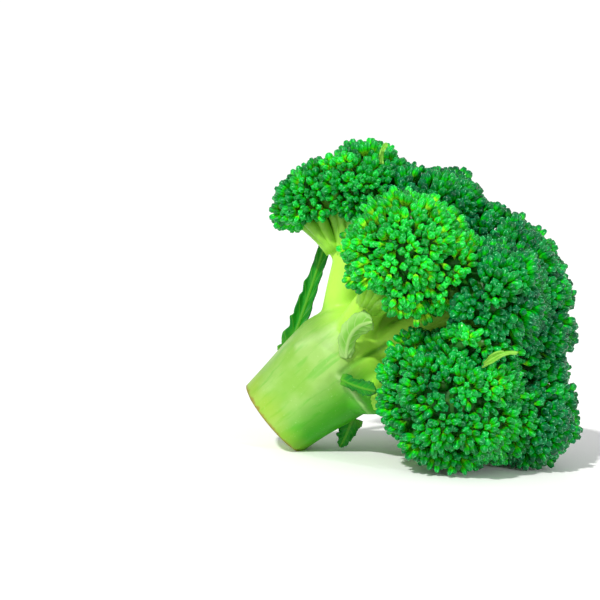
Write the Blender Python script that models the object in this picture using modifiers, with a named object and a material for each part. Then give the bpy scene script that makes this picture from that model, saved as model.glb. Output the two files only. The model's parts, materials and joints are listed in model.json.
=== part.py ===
"""Broccoli floret, lying on its side as it was cut: one branched stalk, thirteen lobes of flower buds and
four small leaves.

The plant is modelled the way it grew, in its own frame: the middle of the cut at the origin, the stalk up
+Z, +X on the side that the floret lies on and +Y on the side away from the viewer. The empty "as_it_lies"
then tips it over onto the table, which is the plane Z = 0 of the finished model.

Every lobe is a closed shell round its own middle: a dome built of round clusters over a narrowing neck. It
is held back by flat planes where it meets its neighbours, the other branches and the table. Its buds are
raised on it from a spiral of points.
"""

import math
from typing import NamedTuple

import bmesh
import bpy
from mathutils import Matrix, Vector, noise

MM = 0.001

# How the floret lies
AXIS_RISE = math.radians(43)
AXIS_YAW = math.radians(8)
TABLE_BELOW_CUT = 8.9 * MM
BOX_SHIFT = Vector((-41.26 * MM, 4.26 * MM))

# Stalk: heights above the cut and radii in mm, then the branches
STEM_PROFILE = (
    (-4.0, 13.1), (0.0, 13.3), (9.0, 14.4), (18.0, 15.8),
    (27.0, 17.0), (35.0, 15.5), (43.0, 11.0), (51.0, 6.5),
)
FORK_BASE = 7.0 * MM
FORK_SHARE = 0.24
BRANCH_ROOT_SHARE = 0.36
BRANCH_NECK_SHARE = 0.27
TWIG_SHARE = 0.17
ELBOW_OUT = 0.35
ELBOW_UP = 0.55
BRANCH_STEPS = 6
TUBE_BEVEL_RESOLUTION = 3
STALK_VOXEL = 1.0 * MM
STALK_SMOOTHING = 5
STALK_TRIANGLE_SHARE = 0.055
STALK_COLOUR = (0.42, 0.68, 0.15)

# Lobes
GAP = 0.35 * MM
NECK_ANGLE = math.radians(42)
NECK_APEX = 1.32
NECK_THINNING = 4
CLUSTER_COUNT = 22
CLUSTER_REACH = 0.60
CLUSTER_RADIUS = 0.40
CLUSTER_JITTER = 0.10
CLUSTER_SEED_STEP = 0.7
CORE_SHARE = 0.80
BUD_PITCH = 5.1 * MM
BUD_HEIGHT = 1.7 * MM
BUD_JITTER = 0.06
BUD_SEED_STEP = 1.3
BUD_SPREAD = 0.22
BUD_SPREAD_DETAIL = 9.0
BUD_SHOWING = 0.5
BUDS_FADE_FROM = math.radians(102)
BUDS_FADE_TO = math.radians(124)
GOLDEN_ANGLE = math.pi * (3 - math.sqrt(5))
JITTER_DETAIL = 7.0
PLACE_DETAIL = 0.3 / MM
NOISE_SEED = 5
ON_UNIT_SPHERE = 0.9999
LOBE_COLOUR = (0.03, 0.25, 0.05)

# Leaves
BLADE_THICKNESS = 0.8 * MM
BLADE_CELLS_ACROSS = 6
BLADE_CELLS_ALONG = 16
EDGE_RAGGEDNESS = 0.28
EDGE_DETAIL_ACROSS = 2.0
EDGE_DETAIL_ALONG = 9.0
RUFFLE_HEIGHT = 0.7 * MM
RUFFLE_WAVES = 2.5


class Lobe(NamedTuple):
    """A rounded head of buds: its name, its middle and radius (mm), and whose branch it grows from."""

    name: str
    x: float
    y: float
    z: float
    radius_mm: float
    parent: str = ""

    @property
    def centre(self):
        return Vector((self.x, self.y, self.z)) * MM

    @property
    def radius(self):
        return self.radius_mm * MM


class Leaf(NamedTuple):
    """A leaf blade: three points of its midrib and its width at each (mm), facing, curl and colour."""

    name: str
    midrib_mm: tuple
    widths_mm: tuple
    facing: tuple
    curl_degrees: float
    colour: tuple


LOBES = (
    Lobe("lobe_rim_top", -35.5, 4.0, 65.0, 17.0),
    Lobe("lobe_rim_top_small", -44.0, 2.0, 50.5, 12.0, "lobe_rim_top"),
    Lobe("lobe_front_upper", -13.0, -24.0, 65.0, 18.5),
    Lobe("lobe_front_lower", 28.5, -20.5, 48.0, 22.5),
    Lobe("lobe_front_crown", 12.0, -20.5, 75.0, 17.5),
    Lobe("lobe_crown_top", -14.0, 3.0, 77.0, 18.0),
    Lobe("lobe_crown_tip", 11.0, 5.0, 80.5, 21.0),
    Lobe("lobe_crown_right", 25.0, 3.0, 73.0, 20.5),
    Lobe("lobe_rim_bottom", 46.5, -2.5, 59.5, 18.0),
    Lobe("lobe_back_lower", 31.5, 24.0, 49.5, 21.5),
    Lobe("lobe_back_upper", -12.0, 28.0, 60.0, 19.5),
    Lobe("lobe_back_crown", 12.0, 27.0, 72.0, 18.5),
    Lobe("lobe_back_top", -30.0, 20.0, 60.0, 14.5, "lobe_back_upper"),
)

LEAVES = (
    Leaf("leaf_long", ((-16.4, 8.4, 19.5), (-24.8, 8.8, 34.6), (-33.0, 8.8, 48.0)), (4.6, 4.4, 5.0),
         (0.0, -1.0, 0.0), 30.0, (0.01, 0.24, 0.01)),
    Leaf("leaf_curled", ((-0.2, -17.0, 31.5), (-8.0, -22.5, 38.5), (-3.5, -24.5, 45.0)), (3.0, 11.0, 6.0),
         (0.3, -1.0, 0.0), -110.0, (0.38, 0.66, 0.16)),
    Leaf("leaf_flat", ((3.6, -17.5, 26.5), (9.0, -22.0, 29.5), (12.5, -23.0, 33.0)), (3.0, 6.0, 4.0),
         (0.3, -1.0, -0.2), -40.0, (0.03, 0.30, 0.05)),
    Leaf("leaf_under", ((18.8, 1.4, 17.0), (19.0, 1.2, 12.9), (19.8, 1.0, 10.1)), (6.0, 5.0, 1.2),
         (0.0, -1.0, 0.0), 30.0, (0.01, 0.20, 0.01)),
)


def down():
    """The way to the table, in the plant's own frame."""
    return Vector((math.cos(AXIS_RISE), 0.0, -math.sin(AXIS_RISE)))


def stem_path():
    """Points and radii of the stem, from just below the cut up to where its last branches part."""
    return [(Vector((0, 0, height)) * MM, radius * MM) for height, radius in STEM_PROFILE]


def fork_of(lobe):
    """Where a lobe's branch leaves the stem, or its parent lobe's branch."""
    if lobe.parent:
        parent = next(other for other in LOBES if other.name == lobe.parent)
        return branch_path(parent)[-2][0]
    return Vector((0.0, 0.0, FORK_BASE + FORK_SHARE * lobe.centre.z))


def elbow_of(lobe):
    """The corner that a lobe's branch bends round: it hugs the stem and then turns outwards."""
    if lobe.parent:
        return fork_of(lobe).lerp(lobe.centre, 0.5)
    return Vector((ELBOW_OUT * lobe.centre.x, ELBOW_OUT * lobe.centre.y, ELBOW_UP * lobe.centre.z))


def growth_of(lobe):
    """The direction a lobe grows in."""
    return (lobe.centre - elbow_of(lobe)).normalized()


def neck_radius(lobe):
    return (TWIG_SHARE if lobe.parent else BRANCH_NECK_SHARE) * lobe.radius


def neck_depth(lobe):
    """How far below a lobe's middle its neck is cut flat."""
    return NECK_APEX * lobe.radius - neck_radius(lobe) / math.tan(NECK_ANGLE)


def neck_of(lobe):
    return lobe.centre - growth_of(lobe) * neck_depth(lobe)


def branch_path(lobe):
    """Points and radii of a lobe's branch, an arc from inside the stem to just under its neck."""
    root, elbow, neck = fork_of(lobe), elbow_of(lobe), neck_of(lobe) - growth_of(lobe) * GAP
    root_radius = (TWIG_SHARE if lobe.parent else BRANCH_ROOT_SHARE) * lobe.radius
    path = []
    for step in range(BRANCH_STEPS + 1):
        t = step / BRANCH_STEPS
        place = root.lerp(elbow, t).lerp(elbow.lerp(neck, t), t)
        path.append((place, root_radius + (neck_radius(lobe) - root_radius) * t))
    return path


def planes_clear_of(path, centre):
    """Planes that keep a body round a centre clear of each length of a branch or stem."""
    planes = []
    for (start, start_radius), (end, end_radius) in zip(path, path[1:]):
        along = end - start
        t = max(0.0, min(1.0, (centre - start).dot(along) / along.length_squared))
        away = start.lerp(end, t) - centre
        planes.append((away.normalized(), away.length - max(start_radius, end_radius) - 2 * GAP))
    return planes


def planes_around(lobe):
    """The planes that hold a lobe back, as (outward direction, distance from its middle)."""
    planes = [(-growth_of(lobe), neck_depth(lobe)), (down(), TABLE_BELOW_CUT - down().dot(lobe.centre))]
    planes += planes_clear_of(stem_path(), lobe.centre)
    for other in LOBES:
        if other.name == lobe.name:
            continue
        between = other.centre - lobe.centre
        distance = between.length
        share = (distance**2 + lobe.radius**2 - other.radius**2) / (2 * distance)
        planes.append((between / distance, share - GAP / 2))
        planes += planes_clear_of(branch_path(other), lobe.centre)
    return planes


def spiral_directions(count, axis, jitter, seed):
    """Directions spread evenly over a sphere along a spiral round an axis, each nudged a little."""
    turn = axis.to_track_quat("Z", "Y")
    directions = []
    for i in range(count):
        height = 1 - (2 * i + 1) / count
        ring = math.sqrt(1 - height * height)
        angle = i * GOLDEN_ANGLE + seed
        direction = Vector((ring * math.cos(angle), ring * math.sin(angle), height))
        nudge = noise.noise_vector(direction * JITTER_DETAIL + Vector((seed, 0, 0)))
        directions.append(turn @ (direction + jitter * nudge).normalized())
    return directions


def dome_reach(direction, clusters, radius):
    """How far a dome of round clusters reaches along a direction from its middle."""
    reach = CORE_SHARE * radius
    for cluster in clusters:
        along = direction.dot(cluster)
        inside = (CLUSTER_RADIUS * radius) ** 2 - (CLUSTER_REACH * radius) ** 2 * (1 - along * along)
        if along > 0 and inside > 0:
            reach = max(reach, CLUSTER_REACH * radius * along + math.sqrt(inside))
    return reach


def neck_reach(angle, radius):
    """How far the narrowing neck reaches, at an angle from the direction of growth."""
    return NECK_APEX * radius * math.sin(NECK_ANGLE) / math.sin(angle - NECK_ANGLE)


def free_reach(direction, lift, lobe, growth, clusters):
    """How far a lobe reaches along a direction with nothing in its way, with a share of a bud's height."""
    angle = growth.angle(direction)
    fade = max(0.0, min(1.0, (BUDS_FADE_TO - angle) / (BUDS_FADE_TO - BUDS_FADE_FROM)))
    size = 1 + BUD_SPREAD * noise.noise(direction * BUD_SPREAD_DETAIL + lobe.centre * PLACE_DETAIL)
    reach = dome_reach(direction, clusters, lobe.radius - BUD_HEIGHT)
    if angle > math.pi / 2:
        reach = min(reach, neck_reach(angle, lobe.radius))
    if angle > math.pi - NECK_ANGLE:
        reach = neck_reach(angle, lobe.radius)
    return reach + BUD_HEIGHT * lift * fade * size


def room_along(direction, planes):
    """How far the planes round a lobe let it reach along a direction."""
    facing = [(direction.dot(outward), distance) for outward, distance in planes]
    return min((distance / share for share, distance in facing if share > 1e-6), default=math.inf)


def bears_bud(direction, lobe, growth, clusters, planes):
    """Whether a bud stands free in a direction: above the neck and clear of the planes round the lobe."""
    free = free_reach(direction, BUD_SHOWING, lobe, growth, clusters)
    return growth.angle(direction) < BUDS_FADE_TO and room_along(direction, planes) > free


def build_lobe(lobe, index):
    """A lobe's closed mesh: each point of the spiral that stands free becomes a pointed, six-sided bud."""
    growth = growth_of(lobe)
    planes = planes_around(lobe)
    clusters = spiral_directions(CLUSTER_COUNT, growth, CLUSTER_JITTER, CLUSTER_SEED_STEP * index)
    bud_area = BUD_PITCH**2 * math.sqrt(3) / 2
    count = round(4 * math.pi * lobe.radius**2 / bud_area)
    bm = bmesh.new()
    for i, direction in enumerate(spiral_directions(count, growth, BUD_JITTER, BUD_SEED_STEP * index)):
        if growth.angle(direction) < BUDS_FADE_TO or i % NECK_THINNING == 0:
            bm.verts.new(direction)
    bmesh.ops.convex_hull(bm, input=bm.verts)
    standing_free = {vert for vert in bm.verts if bears_bud(vert.co, lobe, growth, clusters, planes)}
    around_buds = [edge for edge in bm.edges if standing_free.intersection(edge.verts)]
    bmesh.ops.subdivide_edges(bm, edges=around_buds, cuts=1, use_grid_fill=True)
    for vert in bm.verts:
        way = vert.co.normalized()
        is_bud = vert.co.length > ON_UNIT_SPHERE and bears_bud(way, lobe, growth, clusters, planes)
        free = free_reach(way, 1.0 if is_bud else 0.0, lobe, growth, clusters)
        vert.co = lobe.centre + way * min(free, room_along(way, planes))
    bmesh.ops.triangulate(bm, faces=bm.faces[:])
    bmesh.ops.recalc_face_normals(bm, faces=bm.faces[:])
    return finish_mesh(bm, lobe.name)


def build_leaf(leaf):
    """A leaf's blade as a thin sheet: a grid bent along its midrib, curled and with ragged edges."""
    base, middle, tip = (Vector(point) * MM for point in leaf.midrib_mm)
    start_width, middle_width, end_width = (width * MM for width in leaf.widths_mm)
    facing = Vector(leaf.facing).normalized()
    bm = bmesh.new()
    bmesh.ops.create_grid(bm, x_segments=BLADE_CELLS_ACROSS, y_segments=BLADE_CELLS_ALONG, size=1.0)
    for vert in bm.verts:
        across, along = vert.co.x, (vert.co.y + 1) / 2
        early, late = base.lerp(middle, along), middle.lerp(tip, along)
        side = (late - early).cross(facing).normalized()
        outward = side.cross(late - early).normalized()
        width = (1 - along) ** 2 * start_width + 2 * along * (1 - along) * middle_width + along**2 * end_width
        place = Vector((EDGE_DETAIL_ACROSS * across, EDGE_DETAIL_ALONG * along, PLACE_DETAIL * base.x))
        half_width = width * (1 + EDGE_RAGGEDNESS * abs(across) * noise.noise(place)) / 2
        bend = across * math.radians(leaf.curl_degrees) / 2
        flat_share = math.sin(bend) / bend if bend else 1.0
        rise_share = (1 - math.cos(bend)) / bend if bend else 0.0
        ruffle = RUFFLE_HEIGHT * across * across * math.sin(2 * math.pi * RUFFLE_WAVES * along + across)
        out = across * half_width * rise_share + ruffle
        vert.co = early.lerp(late, along) + side * across * half_width * flat_share + outward * out
    bmesh.ops.triangulate(bm, faces=bm.faces[:])
    return finish_mesh(bm, leaf.name)


def finish_mesh(bm, name):
    """A bmesh written to a new mesh and freed."""
    mesh = bpy.data.meshes.new(name)
    bm.to_mesh(mesh)
    bm.free()
    return mesh


def evaluated_mesh(holder):
    """The evaluated mesh of an object that is then removed."""
    bpy.context.view_layer.update()
    graph = bpy.context.evaluated_depsgraph_get()
    mesh = bpy.data.meshes.new_from_object(holder.evaluated_get(graph))
    bpy.data.objects.remove(holder)
    return mesh


def tube(path):
    """A round tube along a path of (point, radius), as a closed mesh."""
    curve = bpy.data.curves.new("tube", "CURVE")
    curve.dimensions = "3D"
    curve.bevel_depth = 1.0
    curve.bevel_resolution = TUBE_BEVEL_RESOLUTION
    curve.use_fill_caps = True
    spline = curve.splines.new("POLY")
    spline.points.add(len(path) - 1)
    for point, (place, radius) in zip(spline.points, path):
        point.co = (*place, 1.0)
        point.radius = radius
    holder = bpy.data.objects.new("tube", curve)
    bpy.context.scene.collection.objects.link(holder)
    return evaluated_mesh(holder)


def slice_off(bm, point, outward):
    """Cuts away what lies beyond a plane, and closes the cut with a flat face."""
    geometry = bm.verts[:] + bm.edges[:] + bm.faces[:]
    cut = bmesh.ops.bisect_plane(
        bm, geom=geometry, dist=1e-6, plane_co=point, plane_no=outward, clear_outer=True
    )
    rim = [item for item in cut["geom_cut"] if isinstance(item, bmesh.types.BMEdge)]
    bmesh.ops.contextual_create(bm, geom=rim)


def build_stalk():
    """The stem with its branches, fused and smoothed into one body, then cut flat at its foot."""
    bm = bmesh.new()
    for path in [stem_path()] + [branch_path(lobe) for lobe in LOBES]:
        bm.from_mesh(tube(path))
    bmesh.ops.remove_doubles(bm, verts=bm.verts, dist=1e-6)
    rough = bpy.data.objects.new("stalk_rough", finish_mesh(bm, "stalk_rough"))
    bpy.context.scene.collection.objects.link(rough)
    remesh = rough.modifiers.new("Fuse", "REMESH")
    remesh.mode = "VOXEL"
    remesh.voxel_size = STALK_VOXEL
    smooth = rough.modifiers.new("Soften", "SMOOTH")
    smooth.factor = 0.5
    smooth.iterations = STALK_SMOOTHING
    decimate = rough.modifiers.new("Thin", "DECIMATE")
    decimate.ratio = STALK_TRIANGLE_SHARE
    bm = bmesh.new()
    bm.from_mesh(evaluated_mesh(rough))
    slice_off(bm, Vector((0, 0, 0)), Vector((0, 0, -1)))
    slice_off(bm, down() * TABLE_BELOW_CUT, down())
    bmesh.ops.triangulate(bm, faces=bm.faces[:])
    return finish_mesh(bm, "stalk")


def add_part(name, mesh, colour, smooth):
    """A named part with its own material, carried by the empty that lays the plant down."""
    material = bpy.data.materials.new(name)
    material.use_nodes = True
    shader = material.node_tree.nodes["Principled BSDF"]
    shader.inputs["Base Color"].default_value = (*colour, 1.0)
    shader.inputs["Roughness"].default_value = 0.5
    shader.inputs["Metallic"].default_value = 0.0
    mesh.materials.clear()
    mesh.materials.append(material)
    if smooth:
        mesh.shade_smooth()
    part = bpy.data.objects.new(name, mesh)
    floret.objects.link(part)
    part.parent = as_it_lies
    return part


noise.seed_set(NOISE_SEED)
for startup_object in list(bpy.data.objects):
    bpy.data.objects.remove(startup_object)
floret = bpy.data.collections.new("broccoli_floret")
bpy.context.scene.collection.children.link(floret)

as_it_lies = bpy.data.objects.new("as_it_lies", None)
floret.objects.link(as_it_lies)
tip_over = Matrix.Rotation(-AXIS_YAW, 4, "Z") @ Matrix.Rotation(math.pi / 2 - AXIS_RISE, 4, "Y")
as_it_lies.matrix_world = Matrix.Translation((*BOX_SHIFT, TABLE_BELOW_CUT)) @ tip_over

add_part("stalk", build_stalk(), STALK_COLOUR, smooth=True)
for number, one_lobe in enumerate(LOBES):
    add_part(one_lobe.name, build_lobe(one_lobe, number), LOBE_COLOUR, smooth=False)
for one_leaf in LEAVES:
    blade = add_part(one_leaf.name, build_leaf(one_leaf), one_leaf.colour, smooth=True)
    sheet = blade.modifiers.new("Thickness", "SOLIDIFY")
    sheet.thickness = BLADE_THICKNESS
    sheet.offset = 0.0
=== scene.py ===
"""The looks of a cut head of broccoli that lies on its side: its stalk, its lobes of buds and its leaves.

Every piece is shaped in the plant's own frame, the way the plant grew: the middle of the cut at the origin,
the stalk up +Z, +X on the side that the head lies on and +Y on the side away from the viewer. Plant.lay then
turns the finished mesh onto the table, so that each object stays at the origin, unturned and unscaled.

A lobe is a dome of small clusters. Each cluster is a fan of buds round its own middle, on stalklets that
come up out of the lobe's neck.
"""

import json
import logging
import math
import random
from collections.abc import Callable
from dataclasses import dataclass, field
from enum import Enum
from functools import partial
from typing import NamedTuple

import bmesh
import bpy
import numpy as np
from bmesh.types import BMEdge, BMesh, BMVert
from mathutils import Matrix, Vector, noise

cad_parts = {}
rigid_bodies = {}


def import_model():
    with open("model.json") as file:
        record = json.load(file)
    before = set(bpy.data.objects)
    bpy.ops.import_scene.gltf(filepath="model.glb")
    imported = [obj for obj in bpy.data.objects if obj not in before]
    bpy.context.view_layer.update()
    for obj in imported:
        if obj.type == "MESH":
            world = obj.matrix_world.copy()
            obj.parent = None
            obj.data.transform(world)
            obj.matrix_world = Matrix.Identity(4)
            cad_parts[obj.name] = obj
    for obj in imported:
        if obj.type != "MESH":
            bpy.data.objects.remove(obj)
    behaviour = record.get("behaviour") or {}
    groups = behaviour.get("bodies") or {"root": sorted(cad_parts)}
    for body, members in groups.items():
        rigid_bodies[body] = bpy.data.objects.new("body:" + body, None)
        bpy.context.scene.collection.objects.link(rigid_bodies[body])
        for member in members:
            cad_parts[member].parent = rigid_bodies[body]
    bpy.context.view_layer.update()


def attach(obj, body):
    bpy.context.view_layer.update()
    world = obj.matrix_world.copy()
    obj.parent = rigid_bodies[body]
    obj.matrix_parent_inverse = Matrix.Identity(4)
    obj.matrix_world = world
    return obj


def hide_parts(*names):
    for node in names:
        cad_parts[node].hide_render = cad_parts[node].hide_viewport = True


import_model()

log = logging.getLogger("broccoli")

MM = 0.001
GOLDEN_ANGLE = math.pi * (3 - math.sqrt(5))
HEXAGON = math.sqrt(3) / 2
NOISE_SEED = 5
NUDGE_WAVES = 7.0
FACE_SEED = 100
VALLEY_SEED = 77
BUD_SEED = 1000
TURN_STEP = 0.02
VEIN_SLANT = 1.2
Colour = tuple[float, float, float]
Span = tuple[float, float]


@dataclass(frozen=True)
class Plant:
    """How the plant lies on the table, with the sizes that its pieces share."""

    rise: float = math.radians(43)
    yaw: float = math.radians(8)
    table_below_cut: float = 8.9 * MM
    shift: Span = (-41.26 * MM, 4.26 * MM)

    @property
    def cut_middle(self) -> Vector:
        """The middle of the cut, above the table."""
        return Vector((*self.shift, self.table_below_cut))

    @property
    def lay(self) -> Matrix:
        """The turn from the plant's own frame to the table's."""
        tip_over = Matrix.Rotation(-self.yaw, 4, "Z") @ Matrix.Rotation(math.pi / 2 - self.rise, 4, "Y")
        return Matrix.Translation(self.cut_middle) @ tip_over

    @property
    def down(self) -> Vector:
        """The way to the table, in the plant's own frame."""
        return Vector((math.cos(self.rise), 0.0, -math.sin(self.rise)))

    def above_table(self, place: Vector) -> float:
        """The height above the table of a place in the plant's own frame."""
        return self.table_below_cut - self.down.dot(place)


@dataclass(frozen=True)
class BudHabit:
    """How the buds of a lobe stand, with sizes in mm.

    cluster_pitch and cluster_radius shape the small domes, bud_pitch, bud_width and bud_length the buds, and
    stalklet is how far a bud's foot runs on below it. spread is how unevenly far the buds stand out, lean how
    far they turn towards the cluster's axis, and tone runs from 0, dark and bluish, to 1, bright and yellow.
    skirt is how far round the lobe the clusters go, in degrees from its tip, on the viewer's side.
    """

    cluster_pitch: float
    cluster_radius: float
    bud_pitch: float
    bud_width: float
    bud_length: float
    stalklet: float
    spread: float
    lean: float
    tone: float
    skirt: float


class Habit(Enum):
    """The kinds of lobe on this head."""

    RIPE = BudHabit(9.4, 5.6, 2.75, 2.62, 4.6, 2.8, 1.0, 0.42, 0.12, 114)
    RIM = BudHabit(9.2, 5.5, 2.60, 2.30, 3.8, 2.8, 1.0, 0.40, 0.48, 118)
    EVEN = BudHabit(8.5, 6.3, 2.60, 2.20, 3.6, 2.8, 1.1, 0.18, 0.34, 138)
    OPEN = BudHabit(9.2, 5.6, 2.65, 2.25, 3.4, 3.4, 1.4, 0.36, 0.84, 134)


class Lobe(NamedTuple):
    """A rounded head of buds: its name, middle and radius (mm), habit, and whose branch it grows from."""

    name: str
    x: float
    y: float
    z: float
    radius_mm: float
    habit: Habit = Habit.RIPE
    parent: str = ""

    @property
    def centre(self) -> Vector:
        """The lobe's middle, in metres."""
        return Vector((self.x, self.y, self.z)) * MM

    @property
    def radius(self) -> float:
        """The lobe's radius, in metres."""
        return self.radius_mm * MM

    def parting(self, other: "Lobe") -> tuple[Vector, float]:
        """The plane in which this lobe's sphere meets another's.

        Args:
            other: the other lobe.

        Returns:
            The direction to the other lobe's middle and how far the plane is along it, in metres.
        """
        between = other.centre - self.centre
        distance = between.length
        share = (distance**2 + self.radius**2 - other.radius**2) / (2 * distance)
        return between / distance, share


LOBES = (
    Lobe("lobe_rim_top", -35.5, 4.0, 65.0, 17.0, Habit.RIM),
    Lobe("lobe_rim_top_small", -44.0, 2.0, 50.5, 12.0, Habit.RIM, "lobe_rim_top"),
    Lobe("lobe_front_upper", -13.0, -24.0, 65.0, 18.5, Habit.OPEN),
    Lobe("lobe_front_lower", 28.5, -20.5, 48.0, 22.5, Habit.EVEN),
    Lobe("lobe_front_crown", 12.0, -20.5, 75.0, 17.5),
    Lobe("lobe_crown_top", -14.0, 3.0, 77.0, 18.0),
    Lobe("lobe_crown_tip", 11.0, 5.0, 80.5, 21.0),
    Lobe("lobe_crown_right", 25.0, 3.0, 73.0, 20.5),
    Lobe("lobe_rim_bottom", 46.5, -2.5, 59.5, 18.0),
    Lobe("lobe_back_lower", 31.5, 24.0, 49.5, 21.5),
    Lobe("lobe_back_upper", -12.0, 28.0, 60.0, 19.5, Habit.RIM),
    Lobe("lobe_back_crown", 12.0, 27.0, 72.0, 18.5),
    Lobe("lobe_back_top", -30.0, 20.0, 60.0, 14.5, Habit.RIM, "lobe_back_upper"),
)


@dataclass(frozen=True)
class Branching:
    """The stem and the branches that carry the lobes, as centre lines with radii."""

    plant: Plant
    lobes: tuple[Lobe, ...] = LOBES
    stem_heights_mm: tuple[float, ...] = (-4.0, 0.0, 9.0, 18.0, 27.0, 35.0, 43.0, 51.0)
    stem_radii_mm: tuple[float, ...] = (13.1, 13.3, 14.4, 15.8, 17.0, 15.5, 11.0, 6.5)
    fork_base: float = 7.0 * MM
    fork_share: float = 0.24
    root_share: float = 0.36
    neck_share: float = 0.27
    twig_share: float = 0.17
    twig_fork: float = 5 / 6
    twig_elbow: float = 0.5
    elbow_out: float = 0.35
    elbow_up: float = 0.55
    neck_angle: float = math.radians(42)
    neck_apex: float = 1.32

    def stem_at(self, share: float) -> tuple[Vector, float]:
        """A point and radius of the stem.

        Args:
            share: from 0 just below the cut to 1 where the last branches part.

        Returns:
            The place on the centre line and the radius there, in metres.
        """
        low, high = self.stem_heights_mm[0], self.stem_heights_mm[-1]
        height = low + (high - low) * share
        radius = float(np.interp(height, self.stem_heights_mm, self.stem_radii_mm))
        return Vector((0.0, 0.0, height * MM)), radius * MM

    def fork(self, lobe: Lobe) -> Vector:
        """Where a lobe's branch leaves the stem, or its parent lobe's branch.

        Args:
            lobe: the lobe that the branch carries.

        Returns:
            The place on the other centre line.
        """
        if lobe.parent:
            parent = next(other for other in self.lobes if other.name == lobe.parent)
            return self.branch_at(parent, self.twig_fork)[0]
        return Vector((0.0, 0.0, self.fork_base + self.fork_share * lobe.centre.z))

    def elbow(self, lobe: Lobe) -> Vector:
        """The corner that a lobe's branch bends round.

        Args:
            lobe: the lobe that the branch carries.

        Returns:
            The middle control point of the branch's arc.
        """
        if lobe.parent:
            return self.fork(lobe).lerp(lobe.centre, self.twig_elbow)
        centre = lobe.centre
        return Vector((self.elbow_out * centre.x, self.elbow_out * centre.y, self.elbow_up * centre.z))

    def growth(self, lobe: Lobe) -> Vector:
        """The direction a lobe grows in."""
        return (lobe.centre - self.elbow(lobe)).normalized()

    def neck_radius(self, lobe: Lobe) -> float:
        """The radius of the neck, where a branch meets its lobe."""
        return (self.twig_share if lobe.parent else self.neck_share) * lobe.radius

    def neck_depth(self, lobe: Lobe) -> float:
        """How far below a lobe's middle its neck is."""
        return self.neck_apex * lobe.radius - self.neck_radius(lobe) / math.tan(self.neck_angle)

    def neck(self, lobe: Lobe) -> Vector:
        """The middle of the neck."""
        return lobe.centre - self.growth(lobe) * self.neck_depth(lobe)

    def branch_at(self, lobe: Lobe, share: float) -> tuple[Vector, float]:
        """A point and radius of a lobe's branch, an arc from inside the stem to its neck.

        Args:
            lobe: the lobe that the branch carries.
            share: from 0 at the root to 1 at the neck.

        Returns:
            The place on the centre line and the radius there, in metres.
        """
        root, elbow, neck = self.fork(lobe), self.elbow(lobe), self.neck(lobe)
        root_radius = (self.twig_share if lobe.parent else self.root_share) * lobe.radius
        place = root.lerp(elbow, share).lerp(elbow.lerp(neck, share), share)
        return place, root_radius + (self.neck_radius(lobe) - root_radius) * share


def spiral_directions(count: int, axis: Vector, jitter: float, seed: float) -> list[Vector]:
    """Directions spread evenly over a sphere along a spiral round an axis, each nudged a little.

    Args:
        count: how many directions.
        axis: the spiral's axis.
        jitter: how far each direction is nudged, as a share of the sphere's radius.
        seed: turns the spiral and picks the nudges.

    Returns:
        The directions, from the axis's tip to its foot.
    """
    turn = axis.to_track_quat("Z", "Y")
    directions = []
    for i in range(count):
        height = 1 - (2 * i + 1) / count
        ring = math.sqrt(1 - height * height)
        angle = i * GOLDEN_ANGLE + seed
        direction = Vector((ring * math.cos(angle), ring * math.sin(angle), height))
        nudge = noise.noise_vector(direction * NUDGE_WAVES + Vector((seed, 0, 0)))
        directions.append(turn @ (direction + jitter * nudge).normalized())
    return directions


def scattered(draw: random.Random) -> Vector:
    """A random offset of up to 1 along each axis."""
    return Vector([draw.uniform(-1, 1) for _ in range(3)])


@dataclass(frozen=True)
class Cluster:
    """A small dome of buds: its middle, axis, radius, its lobe's name and its brightness, from -1 to 3."""

    middle: Vector
    axis: Vector
    radius: float
    lobe: str
    tone: float


class Offshoot(NamedTuple):
    """A single small cluster that stands out of a lobe: its top (mm), its radius (mm) and its brightness."""

    lobe: str
    top_mm: tuple[float, float, float]
    radius_mm: float
    tone: float


OFFSHOOTS = (
    Offshoot("lobe_front_lower", (31.4, -37.2, 64.6), 7.0, 2.2),
    Offshoot("lobe_front_lower", (14.8, -37.6, 66.6), 4.0, 2.6),
    Offshoot("lobe_crown_tip", (-4.6, 0.6, 91.8), 5.2, -0.4),
    Offshoot("lobe_rim_top", (-41.0, -13.4, 65.2), 4.2, 0.8),
    Offshoot("lobe_rim_top", (-44.8, -13.4, 59.6), 4.0, -0.2),
    Offshoot("lobe_rim_top", (-50.4, -7.8, 62.6), 3.3, 2.6),
    Offshoot("lobe_rim_top", (-47.2, -11.8, 68.4), 3.4, 2.4),
    Offshoot("lobe_rim_top_small", (-51.5, -8.0, 55.0), 3.2, 1.6),
    Offshoot("lobe_front_lower", (3.5, -24.0, 50.5), 4.8, 1.0),
    Offshoot("lobe_front_lower", (4.6, -26.5, 44.0), 4.6, 0.6),
    Offshoot("lobe_front_lower", (8.0, -30.0, 38.0), 4.4, 0.2),
    Offshoot("lobe_front_upper", (6.2, -28.0, 57.0), 5.2, 0.6),
    Offshoot("lobe_front_upper", (-0.8, -34.0, 52.0), 4.8, 0.8),
    Offshoot("lobe_front_upper", (-25.5, -33.5, 52.0), 4.4, 0.3),
    Offshoot("lobe_front_upper", (-16.5, -29.0, 46.5), 4.2, 0.3),
)


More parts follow.
